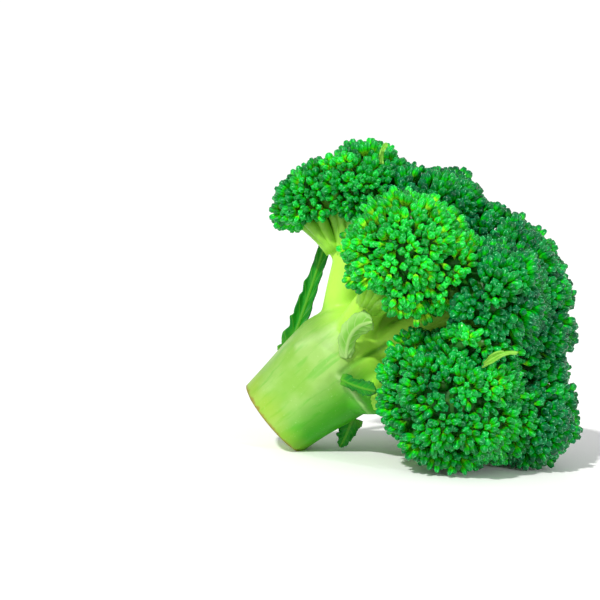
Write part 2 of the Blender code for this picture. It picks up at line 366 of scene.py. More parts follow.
@dataclass(frozen=True)
class LobeForm:
    """The outer form of one lobe: its dome of large clusters over its neck, held back by its neighbours.

    A direction whose y is below viewer_side faces the viewer, and a plane that it meets at less than grazing
    isn't in its way. The two turns set each lobe's spirals apart from the next one's.
    """

    branching: Branching
    lobe: Lobe
    index: int
    large_count: int = 22
    large_reach: float = 0.60
    large_radius: float = 0.40
    core_share: float = 0.80
    bud_rise: float = 1.7 * MM
    large_jitter: float = 0.10
    large_turn: float = 0.7
    small_jitter: float = 0.16
    small_turn: float = 2.1
    axis_jitter: float = 0.18
    sizes: Span = (0.88, 1.12)
    viewer_side: float = -0.25
    grazing: float = 0.01
    rim_angle: float = math.radians(114)
    swell: float = 0.7 * MM
    valley_depth: float = 8.0 * MM
    valley_fill: float = 2.8 * MM

    @property
    def growth(self) -> Vector:
        """The direction the lobe grows in."""
        return self.branching.growth(self.lobe)

    def large_clusters(self) -> list[Vector]:
        """The directions of the large clusters that the dome is built of."""
        turn = self.large_turn * self.index
        return spiral_directions(self.large_count, self.growth, self.large_jitter, turn)

    def planes(self) -> list[tuple[Vector, float]]:
        """The planes that hold the lobe back.

        Returns:
            Outward directions and distances from the lobe's middle, the table's first.
        """
        plant, lobe = self.branching.plant, self.lobe
        others = [other for other in self.branching.lobes if other.name != lobe.name]
        return [(plant.down, plant.above_table(lobe.centre)), *map(lobe.parting, others)]

    def room(self, direction: Vector, planes: list[tuple[Vector, float]]) -> float:
        """How far it is to the nearest of some planes along a direction.

        Args:
            direction: a unit vector from the lobe's middle.
            planes: outward directions and distances from the lobe's middle.

        Returns:
            The distance, or a metre where no plane is in the way.
        """
        ahead = ((direction.dot(outward), far) for outward, far in planes)
        return min((far / along for along, far in ahead if along > self.grazing), default=1.0)

    def reach(self, direction: Vector, large: list[Vector]) -> float:
        """How far the lobe reaches along a direction, with nothing in its way.

        Args:
            direction: a unit vector from the lobe's middle.
            large: the directions of the large clusters.

        Returns:
            The distance from the lobe's middle to the tips of its buds, in metres.
        """
        radius = self.lobe.radius - self.bud_rise
        reach = self.core_share * radius
        for cluster in large:
            along = direction.dot(cluster)
            inside = (self.large_radius * radius) ** 2 - (self.large_reach * radius) ** 2 * (1 - along**2)
            if along > 0 and inside > 0:
                reach = max(reach, self.large_reach * radius * along + math.sqrt(inside))
        return min(reach, self.neck_reach(direction)) + self.bud_rise

    def neck_reach(self, direction: Vector) -> float:
        """How far the narrowing neck lets the lobe reach along a direction.

        Args:
            direction: a unit vector from the lobe's middle.

        Returns:
            The distance, which is endless on the upper half.
        """
        angle = self.growth.angle(direction)
        neck_angle = self.branching.neck_angle
        if angle < math.pi / 2:
            return math.inf
        apex = self.branching.neck_apex * self.lobe.radius
        return apex * math.sin(neck_angle) / math.sin(angle - neck_angle)

    def small_clusters(self) -> list[Cluster]:
        """The small domes of buds over the lobe's face, where it stands free of its neighbours.

        Returns:
            The clusters, from the lobe's tip to its rim.
        """
        lobe, habit = self.lobe, self.lobe.habit.value
        large, planes = self.large_clusters(), self.planes()
        draw = random.Random(FACE_SEED + self.index)
        count = round(4 * math.pi * lobe.radius_mm**2 / (habit.cluster_pitch**2 * HEXAGON))
        clusters = []
        spiral = spiral_directions(count, self.growth, self.small_jitter, self.small_turn * self.index)
        for direction in spiral:
            rim = math.radians(habit.skirt) if direction.y < self.viewer_side else self.rim_angle
            if self.growth.angle(direction) > rim:
                continue
            reach = self.reach(direction, large) + self.swell
            room = self.room(direction, planes)
            if room < reach - self.valley_depth:
                continue
            radius = habit.cluster_radius * MM * draw.uniform(*self.sizes)
            axis = (direction + self.axis_jitter * scattered(draw)).normalized()
            middle = lobe.centre + direction * min(reach, room + self.valley_fill) - axis * radius
            clusters.append(Cluster(middle, axis, radius, lobe.name, draw.uniform(-1, 1)))
        return clusters


def bend_tube(
    bm: BMesh,
    centre_line: Callable[[float], tuple[Vector, float]],
    sides: int,
    rings: int,
) -> list[BMVert]:
    """Adds a closed round tube along a centre line.

    Args:
        bm: the mesh that the tube is added to.
        centre_line: gives the place and radius at a share of the way, from 0 to 1.
        sides: how many sides the tube has.
        rings: how many rings of faces it has along its length.

    Returns:
        The tube's vertices.
    """
    already = len(bm.verts)
    cone = bmesh.ops.create_cone(
        bm, cap_ends=True, cap_tris=False, segments=sides, radius1=1.0, radius2=1.0, depth=1.0
    )
    around = {edge for vert in cone["verts"] for edge in vert.link_edges}
    upright = [edge for edge in around if abs(edge.verts[0].co.z - edge.verts[1].co.z) > 0.5]
    bmesh.ops.subdivide_edges(bm, edges=upright, cuts=rings - 1)
    bm.verts.ensure_lookup_table()
    verts = bm.verts[already:]
    for vert in verts:
        share = vert.co.z + 0.5
        place, radius = centre_line(share)
        ahead = centre_line(min(1.0, share + TURN_STEP))[0]
        behind = centre_line(max(0.0, share - TURN_STEP))[0]
        turn = (ahead - behind).to_track_quat("Z", "Y")
        vert.co = place + turn @ Vector((vert.co.x * radius, vert.co.y * radius, 0.0))
    return list(verts)


def as_mesh(bm: BMesh, name: str) -> bpy.types.Mesh:
    """Turns a bmesh into a mesh, and frees it.

    Args:
        bm: the bmesh.
        name: the mesh's name.

    Returns:
        The mesh.
    """
    mesh = bpy.data.meshes.new(name)
    bm.to_mesh(mesh)
    bm.free()
    return mesh


def gather(whole: BMesh, part: BMesh) -> None:
    """Adds one mesh to another, and frees the one added. Many small shapes are quickest made apart.

    Args:
        whole: the mesh that grows.
        part: the mesh that is added.
    """
    mesh = as_mesh(part, "part")
    whole.from_mesh(mesh)
    bpy.data.meshes.remove(mesh)


def linked(name: str, data: bpy.types.ID) -> bpy.types.Object:
    """Puts an object into the scene.

    Args:
        name: the object's name.
        data: its mesh, camera or light.

    Returns:
        The object.
    """
    made = bpy.data.objects.new(name, data)
    bpy.context.scene.collection.objects.link(made)
    return made


def finished(
    mesh: bpy.types.Mesh, plant: Plant, material: bpy.types.Material, replaced: str
) -> bpy.types.Object:
    """Turns a finished mesh into a piece that lies on the table and stands for a node.

    Args:
        mesh: the piece's mesh in the plant's own frame, with the piece's name.
        plant: how the plant lies.
        material: the piece's finish.
        replaced: the node that the piece stands for.

    Returns:
        The piece, at the origin, with its place in its mesh.
    """
    name = mesh.name
    mesh.transform(plant.lay)
    mesh.shade_smooth()
    mesh.materials.append(material)
    piece = linked(name, mesh)
    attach(piece, "root")
    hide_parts(replaced)
    log.info("%s: %d faces, stands for %s", name, len(mesh.polygons), replaced)
    return piece


class Bud(NamedTuple):
    """One bud: where its body starts, the way it points, its sizes, and its look.

    shade runs from 0, dark, to 1, light, tone from 0, bluish, to 1, yellow, and turn is in radians.
    """

    foot: Vector
    axis: Vector
    length: float
    half_width: float
    stalklet: float
    shade: float
    tone: float
    turn: float


@dataclass(frozen=True)
class BudShape:
    """A closed bud of four sepals on a tapered foot, raised from a sphere and repeated over a lobe.

    heights, widths and sepals are given ring by ring, from the bud's tip down.
    """

    sepal_count: int = 4
    seam_rings: int = 4
    sides: int = 8
    rings: int = 7
    heights: tuple[float, ...] = (0.96, 0.97, 0.76, 0.45, 0.15, -0.08, -0.55, -1.0)
    widths: tuple[float, ...] = (0.0, 0.50, 0.88, 1.0, 0.80, 0.46, 0.24, 0.0)
    sepals: tuple[float, ...] = (0.0, 0.20, 0.13, 0.07, 0.03, 0.0, 0.0, 0.0)

    def template(self) -> bpy.types.Mesh:
        """One bud of unit size that points up, with its height and its seams on its vertices.

        Returns:
            The bud's mesh.
        """
        bm = bmesh.new()
        tip = bm.verts.layers.float.new("tip")
        seam_shade = bm.verts.layers.float.new("seam_shade")
        bmesh.ops.create_uvsphere(bm, u_segments=self.sides, v_segments=self.rings, radius=1.0)
        for vert in bm.verts:
            ring = round(math.acos(max(-1.0, min(1.0, vert.co.z))) / math.pi * self.rings)
            angle = math.atan2(vert.co.y, vert.co.x)
            ridge = math.cos(self.sepal_count * angle)
            out = self.widths[ring] * (1 + self.sepals[ring] * ridge)
            vert.co = (out * math.cos(angle), out * math.sin(angle), self.heights[ring])
            vert[tip] = max(0.0, self.heights[ring])
            # High in the seams between the sepals, where the finish paints shade, and below 0 on their
            # ridges, where it paints glints.
            vert[seam_shade] = -ridge if 0 < ring < self.seam_rings else 0.0
        return as_mesh(bm, "bud")

    def repeated(self, buds: list[Bud], name: str) -> bpy.types.Mesh:
        """Repeats the bud.

        Args:
            buds: the buds.
            name: the mesh's name.

        Returns:
            All the buds in one mesh.
        """
        template = self.template()
        bm = bmesh.new()
        for _ in buds:
            bm.from_mesh(template)
        mesh = as_mesh(bm, name)
        unit = np.array([tuple(vert.co) for vert in template.vertices])
        bpy.data.meshes.remove(template)
        frames = np.array([
            bud.axis.to_track_quat("Z", "Y").to_matrix() @ Matrix.Rotation(bud.turn, 3, "Z") for bud in buds
        ])
        sizes = np.array([(bud.half_width, bud.length, bud.stalklet) for bud in buds])
        shaped = np.empty((len(buds), *unit.shape))
        shaped[..., :2] = unit[:, :2] * sizes[:, None, :1]
        shaped[..., 2] = unit[:, 2] * np.where(unit[:, 2] > 0, sizes[:, None, 1], sizes[:, None, 2])
        feet = np.array([tuple(bud.foot) for bud in buds])
        places = np.einsum("bij,bvj->bvi", frames, shaped) + feet[:, None]
        mesh.vertices.foreach_set("co", places.ravel())
        looks = {"shade": [bud.shade for bud in buds], "tone": [bud.tone for bud in buds]}
        for number, values in looks.items():
            layer = mesh.attributes.new(number, "FLOAT", "POINT")
            layer.data.foreach_set("value", np.repeat(values, len(unit)))
        mesh.update()
        return mesh


@dataclass(frozen=True)
class Variety:
    """How much the buds of a cluster differ: in aim, in age as they open outwards, in tone and in width."""

    aim: float = 0.10
    youngest: float = 0.80
    ageing: float = 0.30
    age_range: float = 0.12
    cluster_tone: float = 0.20
    age_tone: float = 0.30
    tone_range: float = 0.14
    least_width: float = 0.85
    width_range: float = 0.3


@dataclass(frozen=True)
class StalkletForm:
    """The arc of a stalklet: its foot in the neck, its bend, its radii and the height where it is green."""

    foot_out: float = 0.6
    foot_sink: float = 3.0 * MM
    bend_up: float = 0.55
    bend_out: float = 0.12
    foot_radius: float = 1.9 * MM
    end_share: float = 0.34
    green_height: float = 20 * MM
    sides: int = 8
    rings: int = 7


@dataclass
class Crown:
    """All the lobes of buds: the clusters, the buds on them, and the stalklets that carry them.

    heart is what the valleys face away from. crowding is how much of another cluster's radius a bud's tip has
    to keep clear of. A lobe's core stays below its face by cluster_sink of a cluster's radius and bud_sink of
    a bud's length.
    """

    plant: Plant
    branching: Branching
    buds: bpy.types.Material
    stalklets: bpy.types.Material
    widest_fan: float = math.radians(88)
    heart: Vector = field(default_factory=lambda: Vector((0.0, 0.0, 48 * MM)))
    meeting_share: float = 0.93
    valley_lift: float = 2.6 * MM
    valley_reach: float = math.radians(85)
    valley_jitter: float = 0.1
    valley_sizes: Span = (0.9, 1.05)
    core_overlap: float = 0.6 * MM
    least_core: float = 0.6 * MM
    least_lobe_core: float = 2 * MM
    core_gap: float = 0.3 * MM
    cluster_sink: float = 0.62
    bud_sink: float = 0.5
    table_gap: float = 1.0 * MM
    bud_table_gap: float = 0.3 * MM
    crowding: float = 0.97
    longest_bud: float = 0.95
    shape: BudShape = BudShape()
    variety: Variety = Variety()
    stalklet: StalkletForm = StalkletForm()

    def __post_init__(self) -> None:
        """Places every cluster, so that each lobe knows where its neighbours' clusters are."""
        self.forms = [LobeForm(self.branching, lobe, index) for index, lobe in enumerate(LOBES)]
        self.clusters = [cluster for form in self.forms for cluster in form.small_clusters()]
        self.clusters += self.valley_clusters()
        self.clusters += [self.offshoot(shoot) for shoot in OFFSHOOTS]
        self.middles = np.array([tuple(cluster.middle) for cluster in self.clusters])
        self.radii = np.array([cluster.radius for cluster in self.clusters])

    def offshoot(self, shoot: Offshoot) -> Cluster:
        """The cluster of an offshoot.

        Args:
            shoot: the offshoot.

        Returns:
            The cluster, which points away from its lobe's middle.
        """
        lobe = next(lobe for lobe in LOBES if lobe.name == shoot.lobe)
        top = Vector(shoot.top_mm) * MM
        axis = (top - lobe.centre).normalized()
        return Cluster(top - axis * shoot.radius_mm * MM, axis, shoot.radius_mm * MM, lobe.name, shoot.tone)

    def valley_clusters(self) -> list[Cluster]:
        """The clusters that fill the valleys where two lobes meet, which hides the lobes' roundness.

        Returns:
            The clusters, each given to the larger lobe of its pair.
        """
        clusters = []
        draw = random.Random(VALLEY_SEED)
        for first in LOBES:
            for second in LOBES:
                ordered = (first.radius, first.name) < (second.radius, second.name)
                distance = (second.centre - first.centre).length
                if not ordered or distance >= self.meeting_share * (first.radius + second.radius):
                    continue
                way, share = first.parting(second)
                if abs(share) < first.radius:
                    clusters += self.valley(first, second, way, share, draw)
        return clusters

    def valley(
        self, first: Lobe, second: Lobe, way: Vector, share: float, draw: random.Random
    ) -> list[Cluster]:
        """The clusters along the ring where two lobes meet, on the side that faces away from the stalk.

        Args:
            first: the smaller lobe.
            second: the larger lobe.
            way: the direction from the first lobe's middle to the second's.
            share: how far from the first lobe's middle the ring's middle is.
            draw: gives the random numbers.

        Returns:
            The clusters that stand free of all other lobes.
        """
        habit = second.habit.value
        middle = first.centre + way * share
        ring = math.sqrt(first.radius**2 - share**2)
        outward = middle - self.heart
        outward = (outward - way * outward.dot(way)).normalized()
        sideways = way.cross(outward)
        step = habit.cluster_pitch * MM / (ring + self.valley_lift)
        count = int(self.valley_reach / step)
        clusters = []
        for number in range(-count, count + 1):
            angle = number * step + draw.uniform(-self.valley_jitter, self.valley_jitter)
            axis = outward * math.cos(angle) + sideways * math.sin(angle)
            top = middle + axis * (ring + self.valley_lift)
            radius = habit.cluster_radius * MM * draw.uniform(*self.valley_sizes)
            covered = any(
                (top - other.centre).length < other.radius - self.table_gap
                for other in LOBES if other.name not in (first.name, second.name)
            )
            if covered or self.plant.above_table(top) < self.table_gap:
                continue
            clusters.append(Cluster(top - axis * radius, axis, radius, second.name, draw.uniform(-1, 1)))
        return clusters

    def stands_free(self, tip: Vector, own: int) -> bool:
        """Whether a bud's tip is outside every other cluster and above the table.

        Args:
            tip: the bud's tip.
            own: the number of the bud's own cluster.

        Returns:
            True if nothing is in the bud's way.
        """
        away = np.linalg.norm(self.middles - np.array(tuple(tip)), axis=1) - self.crowding * self.radii
        away[own] = 1.0
        return bool(away.min() > 0) and self.plant.above_table(tip) > self.bud_table_gap

    def buds_of(self, own: int, habit: BudHabit) -> list[Bud]:
        """The buds of one cluster.

        Args:
            own: the cluster's number.
            habit: how its buds stand.

        Returns:
            The buds that stand free.
        """
        cluster, variety = self.clusters[own], self.variety
        draw = random.Random(BUD_SEED + own)
        upright = cluster.axis.to_track_quat("Z", "Y")
        span = 1 - math.cos(self.widest_fan)
        count = round(2 * math.pi * (cluster.radius / MM) ** 2 * span / (habit.bud_pitch**2 * HEXAGON))
        start = draw.uniform(0, 2 * math.pi)
        buds = []
        for i in range(count):
            fan = math.acos(1 - (i + 0.5) / count * span)
            angle = start + i * GOLDEN_ANGLE
            out = Vector((math.sin(fan) * math.cos(angle), math.sin(fan) * math.sin(angle), math.cos(fan)))
            out = (upright @ out + variety.aim * scattered(draw)).normalized()
            age = variety.youngest + variety.ageing * fan / self.widest_fan
            age += draw.uniform(-variety.age_range, variety.age_range)
            length = min(habit.bud_length * MM, self.longest_bud * cluster.radius) * age
            tip = cluster.middle + out * (cluster.radius + habit.spread * MM * draw.uniform(-1, 1))
            shade, turn = draw.random(), draw.uniform(0, math.pi)
            tone = habit.tone + variety.cluster_tone * cluster.tone + variety.age_tone * (1 - age)
            tone += draw.uniform(-variety.tone_range, variety.tone_range)
            if not self.stands_free(tip, own):
                continue
            axis = (out * (1 - habit.lean) + cluster.axis * habit.lean).normalized()
            half_width = habit.bud_width * MM / 2 * age
            half_width *= variety.least_width + variety.width_range * draw.random()
            tone = max(0.0, min(1.0, tone))
            foot = tip - axis * length
            buds.append(Bud(foot, axis, length, half_width, habit.stalklet * MM, shade, tone, turn))
        return buds

    def add_cores(self, bm: BMesh, form: LobeForm, own: list[int]) -> None:
        """Adds what the buds of a lobe stand on: a round core in each cluster and one in the lobe.

        Args:
            bm: the mesh of the lobe's stalklets.
            form: the lobe's form.
            own: the numbers of the lobe's clusters.
        """
        habit = form.lobe.habit.value
        for number in own:
            cluster = self.clusters[number]
            inner = max(cluster.radius - habit.bud_length * MM - self.core_gap, self.least_core)
            place = Matrix.Translation(cluster.middle) @ Matrix.Diagonal((inner, inner, inner, 1.0))
            part = bmesh.new()
            rise = part.verts.layers.float.new("rise")
            bmesh.ops.create_icosphere(part, subdivisions=2, radius=1.0, matrix=place)
            # The cores take the stalklets' darkest colour, painted shade in the gaps among the buds.
            for vert in part.verts:
                vert[rise] = 1.0
            gather(bm, part)
        large, (table, *walls) = form.large_clusters(), form.planes()
        down, above = table
        inside = (habit.cluster_radius * self.cluster_sink + habit.bud_length * self.bud_sink) * MM
        part = bmesh.new()
        rise = part.verts.layers.float.new("rise")
        bmesh.ops.create_icosphere(part, subdivisions=3, radius=1.0)
        for vert in part.verts:
            way = vert.co.normalized()
            room = form.room(way, walls) + self.core_overlap
            if way.dot(down) > form.grazing:
                room = min(room, (above - self.table_gap) / way.dot(down))
            reach = min(form.reach(way, large) - inside, room, form.branching.neck_depth(form.lobe))
            vert.co = form.lobe.centre + way * max(reach, self.least_lobe_core)
            # The lobe's core too takes the darkest colour, painted shade in the gaps among the buds.
            vert[rise] = 1.0
        gather(bm, part)

    def build_lobe(self, form: LobeForm) -> None:
        """Builds the buds of one lobe as a piece, and its stalklets as another.

        Args:
            form: the lobe's form.
        """
        lobe = form.lobe
        own = [number for number, cluster in enumerate(self.clusters) if cluster.lobe == lobe.name]
        buds = [bud for number in own for bud in self.buds_of(number, lobe.habit.value)]
        mesh = self.shape.repeated(buds, lobe.name.replace("lobe", "buds"))
        finished(mesh, self.plant, self.buds, lobe.name)
        bm = bmesh.new()
        self.add_cores(bm, form, own)
        for number in own:
            self.add_stalklet(bm, form, self.clusters[number])
        mesh = as_mesh(bm, lobe.name.replace("lobe", "stalklets"))
        finished(mesh, self.plant, self.stalklets, lobe.name)
        log.info("%s: %d clusters, %d buds", lobe.name, len(own), len(buds))

    def add_stalklet(self, bm: BMesh, form: LobeForm, cluster: Cluster) -> None:
        """Adds the stalklet that comes out of the lobe's neck and carries one cluster.

        Args:
            bm: the mesh of the lobe's stalklets.
            form: the lobe's form.
            cluster: the cluster that the stalklet carries.
        """
        lobe, growth, own = form.lobe, form.growth, self.stalklet
        neck_radius = self.branching.neck_radius(lobe)
        across = cluster.middle - lobe.centre
        across -= growth * across.dot(growth)
        start = self.branching.neck(lobe) + across.normalized() * neck_radius * own.foot_out
        start -= growth * own.foot_sink
        bend = start + growth * (cluster.middle - start).dot(growth) * own.bend_up + across * own.bend_out
        end_radius = cluster.radius * own.end_share

        def centre_line(share: float) -> tuple[Vector, float]:
            """The stalklet's arc, widening at its end."""
            place = start.lerp(bend, share).lerp(bend.lerp(cluster.middle, share), share)
            return place, own.foot_radius + (end_radius - own.foot_radius) * share**3

        part = bmesh.new()
        rise = part.verts.layers.float.new("rise")
        for vert in bend_tube(part, centre_line, own.sides, own.rings):
            # rise darkens the stalklet towards the buds, up to the painted shade of the gaps among them.
            vert[rise] = min(1.0, max(0.0, (vert.co - start).dot(growth) / own.green_height))
        gather(bm, part)

    def build(self) -> None:
        """Builds every lobe."""
        for form in self.forms:
            self.build_lobe(form)


@dataclass(frozen=True)
class SkinLine:
    """A line on the stalk's skin, such as a leaf scar's lip or the crease between two branches.

    points_mm runs over the skin in the plant's frame. width and lift are in mm, and a groove's lift is
    below 0.
    """

    points_mm: tuple[tuple[float, float, float], ...]
    width: float
    lift: float

    def nearness(self, places: np.ndarray) -> np.ndarray:
        """How near places are to the line.

        Args:
            places: places in the plant's frame, in metres, one to a row.

        Returns:
            A number for each place, from 0 far off to 1 on the line.
        """
        points = np.array(self.points_mm) * MM
        nearest = np.full(len(places), np.inf)
        for start, end in zip(points, points[1:]):
            along = end - start
            share = np.clip((places - start) @ along / (along @ along), 0, 1)
            gap = np.linalg.norm(places - start - share[:, None] * along, axis=1)
            nearest = np.minimum(nearest, gap)
        return np.exp(-((nearest / (self.width * MM)) ** 2))


@dataclass
class Stalk:
    """The stem and its branches, fused into one body, with the scars of the leaves that were trimmed off.

    clear_lift is the lift, in mm, from which a scar's lip is fully pale. cut_rings close the cut from its rim
    inwards, each as a share of the ring round it and a height in mm.
    """

    plant: Plant
    branching: Branching
    material: bpy.types.Material
    voxel: float = 0.55 * MM
    softening: float = 0.5
    smoothing: int = 14
    rib_lift: float = 0.35 * MM
    clear_lift: float = 0.75
    stem_mesh: tuple[int, int] = (48, 18)
    branch_mesh: tuple[int, int] = (28, 16)
    rib_waves: tuple[float, float, float] = (230.0, 230.0, 22.0)
    rib_share: float = 0.6
    swell_waves: float = 60.0
    cut_rings: tuple[Span, ...] = (
        (0.975, 0.10), (0.93, 0.12), (0.90, 0.05), (0.88, 0.14), (0.80, 0.20), (0.70, 0.28), (0.50, 0.36)
    )
    skin_lines: tuple[SkinLine, ...] = (
        SkinLine(((2.3, -16.0, 26.1), (4.3, -16.1, 26.7), (7.3, -14.6, 26.4), (10.5, -14.2, 26.4),
                  (13.6, -14.1, 26.5), (16.2, -12.5, 26.1)), 0.9, 0.75),
        SkinLine(((2.0, -16.4, 24.4), (6.0, -16.0, 23.6), (10.5, -14.6, 23.8), (15.0, -12.4, 24.4)),
                 1.3, -0.35),
        SkinLine(((-11.8, -10.6, 21.8), (-10.6, -12.0, 25.3), (-9.9, -12.2, 29.5), (-9.5, -11.5, 34.5)),
                 1.4, 0.50),
        SkinLine(((4.8, -16.2, 25.2), (9.0, -15.0, 25.2), (13.5, -13.2, 25.4)), 2.1, 0.15),
        SkinLine(((-12.8, 7.5, 17.5), (-14.6, 3.0, 19.5), (-13.6, -4.0, 20.5), (-11.8, -8.6, 19.6)),
                 1.2, 0.35),
        SkinLine(((-9.0, 14.0, 26.0), (-3.5, 16.4, 24.6), (3.0, 16.6, 24.8), (8.5, 15.2, 26.6)), 1.5, 0.45),
        SkinLine(((12.5, 11.0, 27.0), (16.0, 6.0, 25.2), (17.0, 0.0, 25.0), (16.4, -6.0, 26.0)), 1.4, 0.45),
    )
    # The creases are sunk, and where they are is noted for the painted shade that the finish darkens them
    # with.
    creases: tuple[SkinLine, ...] = (
        SkinLine(((2.2, -16.0, 27.4), (2.2, -15.3, 31.5), (3.0, -14.3, 35.7), (3.9, -12.5, 39.8),
                  (4.2, -13.1, 43.0)), 0.8, -0.9),
        SkinLine(((-8.0, 13.0, 31.0), (-8.6, 13.0, 36.0), (-8.8, 12.0, 41.0)), 0.8, -0.7),
        SkinLine(((16.5, 3.0, 29.0), (19.0, 2.0, 33.0), (21.0, 1.5, 37.0)), 0.8, -0.7),
    )

    def rough(self) -> bpy.types.Object:
        """The stem and its branches as overlapping tubes.

        Returns:
            The tubes as one object.
        """
        bm = bmesh.new()
        bend_tube(bm, self.branching.stem_at, *self.stem_mesh)
        for lobe in self.branching.lobes:
            bend_tube(bm, partial(self.branching.branch_at, lobe), *self.branch_mesh)
        return linked("stalk_rough", as_mesh(bm, "stalk_rough"))

    def fused(self) -> BMesh:
        """The tubes fused into one skin and smoothed where they meet.

        Returns:
            The stalk's mesh.
        """
        rough = self.rough()
        remesh = rough.modifiers.new("Fuse", "REMESH")
        remesh.mode = "VOXEL"
        remesh.voxel_size = self.voxel
        smooth = rough.modifiers.new("Soften", "SMOOTH")
        smooth.factor = self.softening
        smooth.iterations = self.smoothing
        bpy.context.view_layer.update()
        graph = bpy.context.evaluated_depsgraph_get()
        mesh = bpy.data.meshes.new_from_object(rough.evaluated_get(graph))
        bpy.data.objects.remove(rough)
        bm = bmesh.new()
        bm.from_mesh(mesh)
        bpy.data.meshes.remove(mesh)
        return bm

    def mark_skin(self, bm: BMesh) -> None:
        """Raises the ribs and the scars' lips, sinks the creases, and notes on the vertices where they are.

        Args:
            bm: the stalk's mesh.
        """
        pale = bm.verts.layers.float.new("pale")
        # Where the finish paints shade in the creases.
        crease = bm.verts.layers.float.new("crease")
        bm.normal_update()
        places = np.array([tuple(vert.co) for vert in bm.verts])
        lips = np.array([line.nearness(places) for line in self.skin_lines])
        grooves = np.array([line.nearness(places) for line in self.creases])
        lift = np.array([line.lift for line in self.skin_lines]) @ lips
        lift += np.array([line.lift for line in self.creases]) @ grooves
        raised = np.array([line.lift > 0 for line in self.skin_lines])
        strength = np.array([min(1.0, line.lift / self.clear_lift) for line in self.skin_lines])
        pale_here, crease_shade_here = (lips * strength[:, None])[raised].max(axis=0), grooves.max(axis=0)
        for number, vert in enumerate(bm.verts):
            rib = noise.noise(vert.co * Vector(self.rib_waves))
            swell = noise.noise(vert.co * self.swell_waves)
            vert[pale] = pale_here[number]
            vert[crease] = crease_shade_here[number]
            vert.co += vert.normal * (lift[number] * MM + self.rib_lift * (self.rib_share * rib + swell))

    def slice_off(
        self, bm: BMesh, point: Vector, outward: Vector, rings: tuple[Span, ...] = ()
    ) -> None:
        """Cuts away what lies beyond a plane, and closes the cut.

        Args:
            bm: the stalk's mesh.
            point: a point of the plane.
            outward: the way to the side that goes.
            rings: the rings that the cut across the stalk is closed with, each as its size as a share of the
                ring round it and its height in mm.
        """
        geometry = bm.verts[:] + bm.edges[:] + bm.faces[:]
        cut = bmesh.ops.bisect_plane(
            bm, geom=geometry, dist=1e-6, plane_co=point, plane_no=outward, clear_outer=True
        )
        rim = [item for item in cut["geom_cut"] if isinstance(item, BMEdge)]
        for share, dip in rings:
            made = bmesh.ops.extrude_edge_only(bm, edges=rim)["geom"]
            rim = [item for item in made if isinstance(item, BMEdge)]
            for vert in {vert for edge in rim for vert in edge.verts}:
                vert.co = Vector((vert.co.x * share, vert.co.y * share, dip * MM))
        bmesh.ops.contextual_create(bm, geom=rim)

    def build(self) -> None:
        """Builds the stalk as one piece."""
        bm = self.fused()
        self.mark_skin(bm)
        self.slice_off(bm, Vector((0, 0, 0)), Vector((0, 0, -1)), self.cut_rings)
        self.slice_off(bm, self.plant.down * self.plant.table_below_cut, self.plant.down)
        bmesh.ops.recalc_face_normals(bm, faces=bm.faces)
        finished(as_mesh(bm, "stalk_skin"), self.plant, self.material, "stalk")


class LeafColour(Enum):
    """The colours of leaf on this head."""

    DARK = ("leaf_green", "dark")
    PALE = ("leaf_pale", "pale")
    YOUNG = ("leaf_pale", "young")

    @property
    def slot(self) -> str:
        """The material slot of the colour."""
        return self.value[0]


@dataclass(frozen=True)
class LeafShape:
    """One small leaf: three points of its midrib and its width at each (mm), its facing and its curl.

    teeth is how many teeth each edge has and bite how deep they are, as a share of the half width. stands_for
    is the node that the leaf replaces, where it isn't the one of its own name.
    """

    name: str
    midrib_mm: tuple[tuple[float, float, float], ...]
    widths_mm: tuple[float, float, float]
    facing: tuple[float, float, float]
    curl: float
    teeth: int
    bite: float
    colour: LeafColour = LeafColour.DARK
    stands_for: str = ""


